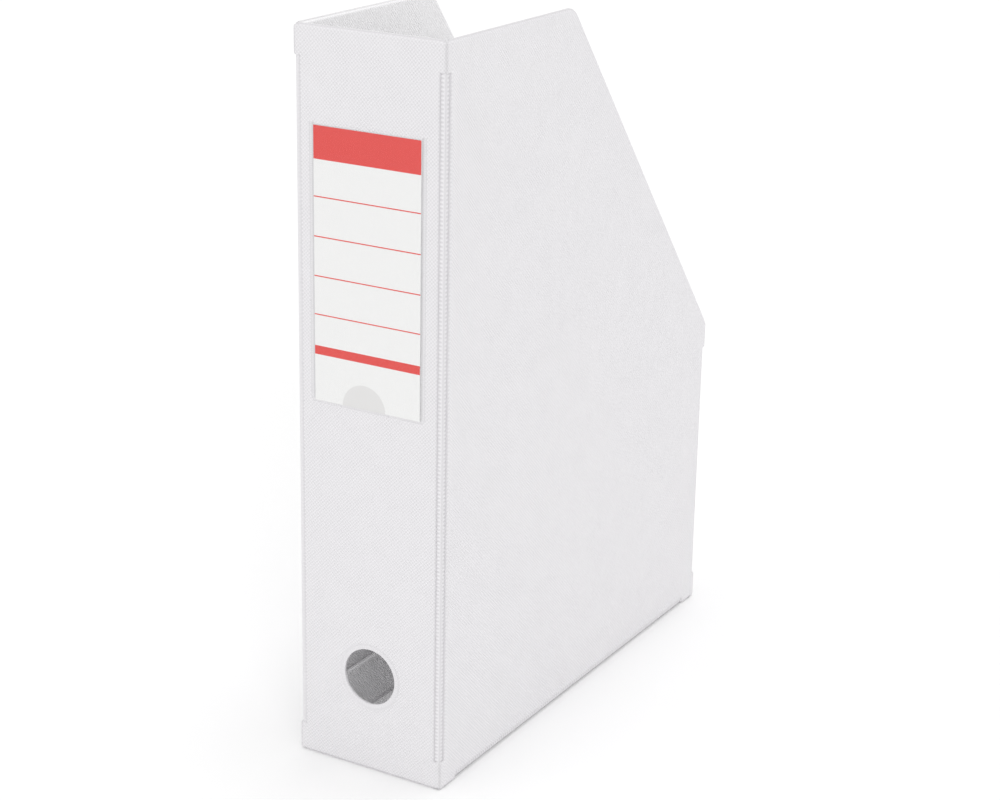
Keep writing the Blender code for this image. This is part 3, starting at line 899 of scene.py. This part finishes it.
def label_card():
    """Card with a plain red header, thin ruled lines, one thick line and a darker half-disc in the
    thumb notch.
    """
    low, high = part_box("label_card")
    white, red, darker = range(3)
    levels = [(0.0, white)]
    for bottom, top in CARD_BANDS:
        levels += [(bottom, red), (top, white)]
    levels.append((high[2] - low[2], white))
    corners, faces, inked = [], [], []
    for y in (low[1], high[1]):
        for height, ink in levels:
            for x in (low[0], high[0]):
                corners.append((x, y, low[2] + height))
    back = len(levels) * 2
    mark = notch_arc(low[2])
    arc = list(range(len(corners), len(corners) + len(mark)))
    corners += [(x, low[1], z) for x, z in mark]

    # Each band has a front face, and behind it the back and two edges
    for k in range(len(levels) - 1):
        i = k * 2
        if k == 0:
            faces += [(0, *arc, 1, 3, 2), tuple(arc)]
            inked += [white, darker]
        else:
            faces.append((i, i + 1, i + 3, i + 2))
            inked.append(levels[k][1])
        faces.append((back + i, back + i + 2, back + i + 3, back + i + 1))
        faces.append((i, i + 2, back + i + 2, back + i))
        faces.append((i + 1, back + i + 1, back + i + 3, i + 3))
        inked += [white] * 3
    top = back - 2
    faces += [(0, back, back + 1, 1, arc[-1], arc[0]), (top, top + 1, back + top + 1, back + top)]
    inked += [white] * 2
    blank = [0.0] * len(corners)
    card = make_piece(
        "printed_card", corners, faces, [(x, z) for x, y, z in corners], blank, blank,
        [CARD_WHITE, CARD_RED, CARD_SHADE])
    for face, ink in zip(card.data.polygons, inked):
        face.material_index = ink
    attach(card, "label")
    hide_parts("label_card")


def pocket_outline(inset):
    """Open outline of the pocket: down its left side, along its foot and up its right side."""
    low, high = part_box("label_pocket")
    left, right, bottom = low[0] + inset, high[0] - inset, low[2] + inset
    radius = max(LEAST_CORNER, POCKET_CORNER - inset)
    spots = ((left, high[2]), (left, bottom), (right, bottom), (right, high[2]))
    corners = [Vector(spot) for spot in spots]
    points = [corners[0]]
    for i in (1, 2):
        points += rounded_corner(corners[i - 1], corners[i], corners[i + 1], radius, POCKET_ARC_STEPS)
    return points + [corners[3]]


def clear_pocket():
    """Film over the card, welded down on three sides and open at the top, with a thumb notch."""
    low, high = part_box("label_pocket")
    foot, raised = high[1], low[1] + POCKET_FILM
    corners, faces, rings = [], [], []
    for inset, share in FILM_SECTION:
        level = foot + (raised - foot) * share
        pair = []
        for y in (level - POCKET_FILM, level):
            points = pocket_outline(inset * MM)
            pair.append(list(range(len(corners), len(corners) + len(points))))
            corners += [(point.x, y, point.y) for point in points]
        rings.append(pair)
    for near, far in zip(rings, rings[1:]):
        for side in (0, 1):
            faces += band(near[side], far[side], closed=False)
        for end in (0, -1):
            faces.append((near[0][end], far[0][end], far[1][end], near[1][end]))
    outer, inner = rings[0], rings[-1]
    faces += band(outer[0], outer[1], closed=False)
    faces += [tuple(inner[0]), tuple(inner[1]), (inner[0][0], inner[0][-1], inner[1][-1], inner[1][0])]
    blank = [0.0] * len(corners)
    film = make_piece(
        "clear_pocket", corners, faces, [(x, z) for x, y, z in corners], blank, blank, [FILM_CLEAR])
    cut_notch(film)
    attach(film, "spine")
    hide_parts("label_pocket")


def cut_notch(film):
    """Cut the thumb notch through the film with a cylinder across it."""
    shape = bmesh.new()
    turn = Matrix.Translation((NOTCH_X, FRONT, NOTCH_LEVEL)) @ Matrix.Rotation(math.pi / 2, 4, "X")
    bmesh.ops.create_cone(
        shape, cap_ends=True, segments=NOTCH_SEGMENTS, radius1=NOTCH_RADIUS, radius2=NOTCH_RADIUS,
        depth=NOTCH_CUT, matrix=turn)
    mesh = bpy.data.meshes.new("notch")
    shape.to_mesh(mesh)
    shape.free()
    cutter = bpy.data.objects.new("notch", mesh)
    bpy.context.scene.collection.objects.link(cutter)
    cut = film.modifiers.new("notch", "BOOLEAN")
    cut.object = cutter
    cut.solver = "EXACT"
    graph = bpy.context.evaluated_depsgraph_get()
    cut_mesh = bpy.data.meshes.new_from_object(film.evaluated_get(graph))
    film.modifiers.clear()
    film.data = cut_mesh
    bpy.data.objects.remove(cutter)


def pocket_weld():
    """Knurled weld line that holds the film to the foil on three sides of the card."""
    points = pocket_outline(0.0)
    lengths = [0.0]
    for near, far in zip(points, points[1:]):
        lengths.append(lengths[-1] + (far - near).length)
    steps = RIB_ROWS * round(lengths[-1] / WELD_PITCH)
    lines = [pocket_outline(inset * MM) for inset, lift, tone in WELD_SECTION]
    corners, flat, pressed, shaded, rings = [], [], [], [], []
    span = 0
    for step in range(steps + 1):
        travel = lengths[-1] * step / steps
        while span < len(points) - 2 and lengths[span + 1] < travel:
            span += 1
        share = (travel - lengths[span]) / (lengths[span + 1] - lengths[span])
        rib = swell(step)

        # The raised face of the weld, then its back edge in the film
        rows = []
        # Painted shade from the section, deepest beside the card as a painted shadow, and painted shade
        # between the knurls
        for line, (inset, lift, tone) in zip(lines, WELD_SECTION):
            knurled = lift == 1.0
            height = WELD_RIB * lift * (rib if knurled else 1.0)
            rows.append((line, FRONT - height, tone + (WELD_RIB_PAINTED_SHADE * (1 - rib) if knurled else 0.0)))
        rows += [(line, FRONT + POCKET_FILM, 0.0) for line in (lines[-1], lines[0])]
        rings.append(range(len(corners), len(corners) + len(rows)))
        for line, y, tone in rows:
            spot = line[span].lerp(line[span + 1], share)
            corners.append((spot.x, y, spot.y))
            flat.append((spot.x, spot.y))
            pressed.append(1.0)
            shaded.append(tone)
    faces = []
    for near, far in zip(rings, rings[1:]):
        faces += band(near, far)
    faces += [tuple(rings[0]), tuple(rings[-1])]
    weld = make_piece("pocket_weld", corners, faces, flat, pressed, shaded, [FOIL_WHITE])
    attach(weld, "spine")


NOTCH_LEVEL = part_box("label_card")[0][2] - NOTCH_DROP
label_card()
clear_pocket()
pocket_weld()


# Floor, light and camera ------------------------------------------------------------------

def floor(colour):
    """Plain pale floor, just below the object."""
    mesh = bpy.data.meshes.new("floor")
    corners = [(x * FLOOR_REACH, y * FLOOR_REACH, 0) for x, y in ((-1, -1), (1, -1), (1, 1), (-1, 1))]
    mesh.from_pydata(corners, [], [(0, 1, 2, 3)])
    nodes = Nodes("floor_white")
    nodes.shader.inputs["Base Color"].default_value = (*colour, 1.0)
    nodes.shader.inputs["Roughness"].default_value = 0.9
    nodes.shader.inputs["Specular IOR Level"].default_value = 0.1
    mesh.materials.append(nodes.material)
    plane = bpy.data.objects.new("floor", mesh)
    plane.location.z = FLOOR_DROP
    bpy.context.scene.collection.objects.link(plane)


def soft_light(name, way, strength, spread):
    """Even soft light that arrives from one side of the studio."""
    light = bpy.data.lights.new(name, "SUN")
    light.energy = strength
    light.angle = math.radians(spread)
    lamp = bpy.data.objects.new(name, light)
    lamp.rotation_euler = Vector(way).to_track_quat("Z", "Y").to_euler()
    bpy.context.scene.collection.objects.link(lamp)


def sky(strength):
    """White light from all round."""
    world = bpy.data.worlds.new("studio")
    world.use_nodes = True
    background = world.node_tree.nodes["Background"]
    background.inputs["Color"].default_value = (1.0, 1.0, 1.0, 1.0)
    background.inputs["Strength"].default_value = strength
    bpy.context.scene.world = world


def camera():
    """Camera at the photograph's angle, above the front right corner."""
    data = bpy.data.cameras.new("camera")
    data.lens = LENS
    data.sensor_width = SENSOR_WIDTH
    data.shift_y = LENS_SHIFT
    ahead = Vector((
        math.sin(CAMERA_YAW) * math.cos(CAMERA_PITCH), math.cos(CAMERA_YAW) * math.cos(CAMERA_PITCH),
        -math.sin(CAMERA_PITCH)))
    right = Vector((math.cos(CAMERA_YAW), -math.sin(CAMERA_YAW), 0.0))
    up = right.cross(ahead)
    rolled_right = right * math.cos(CAMERA_ROLL) + up * math.sin(CAMERA_ROLL)
    rolled_up = up * math.cos(CAMERA_ROLL) - right * math.sin(CAMERA_ROLL)
    turn = Matrix((rolled_right, rolled_up, -ahead)).transposed()
    eye = bpy.data.objects.new("camera", data)
    eye.matrix_world = Matrix.Translation(CAMERA_PLACE) @ turn.to_4x4()
    bpy.context.scene.collection.objects.link(eye)
    bpy.context.scene.camera = eye


bpy.context.scene.view_settings.view_transform = "Standard"
floor(FLOOR_COLOUR)
for light in STUDIO_LIGHTS:
    soft_light(*light)
sky(SKY_STRENGTH)
camera()
